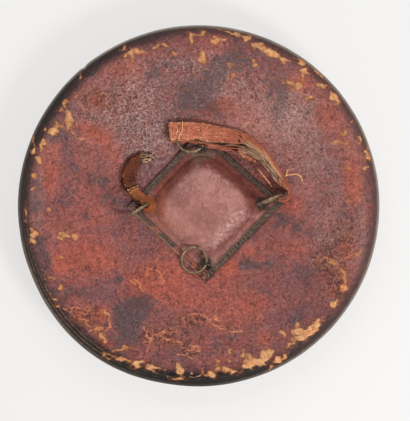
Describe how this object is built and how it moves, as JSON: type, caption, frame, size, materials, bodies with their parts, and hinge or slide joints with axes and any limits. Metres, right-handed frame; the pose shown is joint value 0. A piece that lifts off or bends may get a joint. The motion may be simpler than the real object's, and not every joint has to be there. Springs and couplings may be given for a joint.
{
  "type": "round shield",
  "caption": "Round hide shield lying on its front bosses, grip side up, with a knuckle pad, ring eyes, wire rings and the remains of leather grip straps.",
  "frame": {"origin": "on the ground under the middle of the dish, Z 0 at the tips of the four front bosses", "axes": "+Z out of the grip side, along the dish's axis; +Y to the top of the shield as lying, +X to its right"},
  "size_m": [0.4598, 0.4598, 0.071],
  "materials": {
    "hide": "old lacquered hide, satin, mottled and worn ochre along the crest",
    "pad_leather": "thin pinkish leather, satin",
    "edging": "plaited olive-grey edging, matt",
    "iron": "dark patinated iron",
    "ring_wire": "dull grey-brown iron wire, rubbed bright on top",
    "strap_leather": "dry orange-brown leather with pale torn edges"
  },
  "bodies": {
    "root": {"shield_body": "hide", "knuckle_pad": "pad_leather", "pad_strip_upper_right": "edging", "pad_strip_upper_left": "edging", "pad_strip_lower_left": "edging", "pad_strip_lower_right": "edging", "ring_eye_right": "iron", "eye_washer_right": "iron", "boss_right": "iron", "wire_ring_right": "ring_wire", "ring_eye_top": "iron", "eye_washer_top": "iron", "boss_top": "iron", "wire_ring_top": "ring_wire", "ring_eye_left": "iron", "eye_washer_left": "iron", "boss_left": "iron", "wire_ring_left": "ring_wire", "ring_eye_bottom": "iron", "eye_washer_bottom": "iron", "boss_bottom": "iron", "wire_ring_bottom": "ring_wire", "grip_strap": "strap_leather", "strap_stub": "strap_leather"}
  },
  "joints": []
}
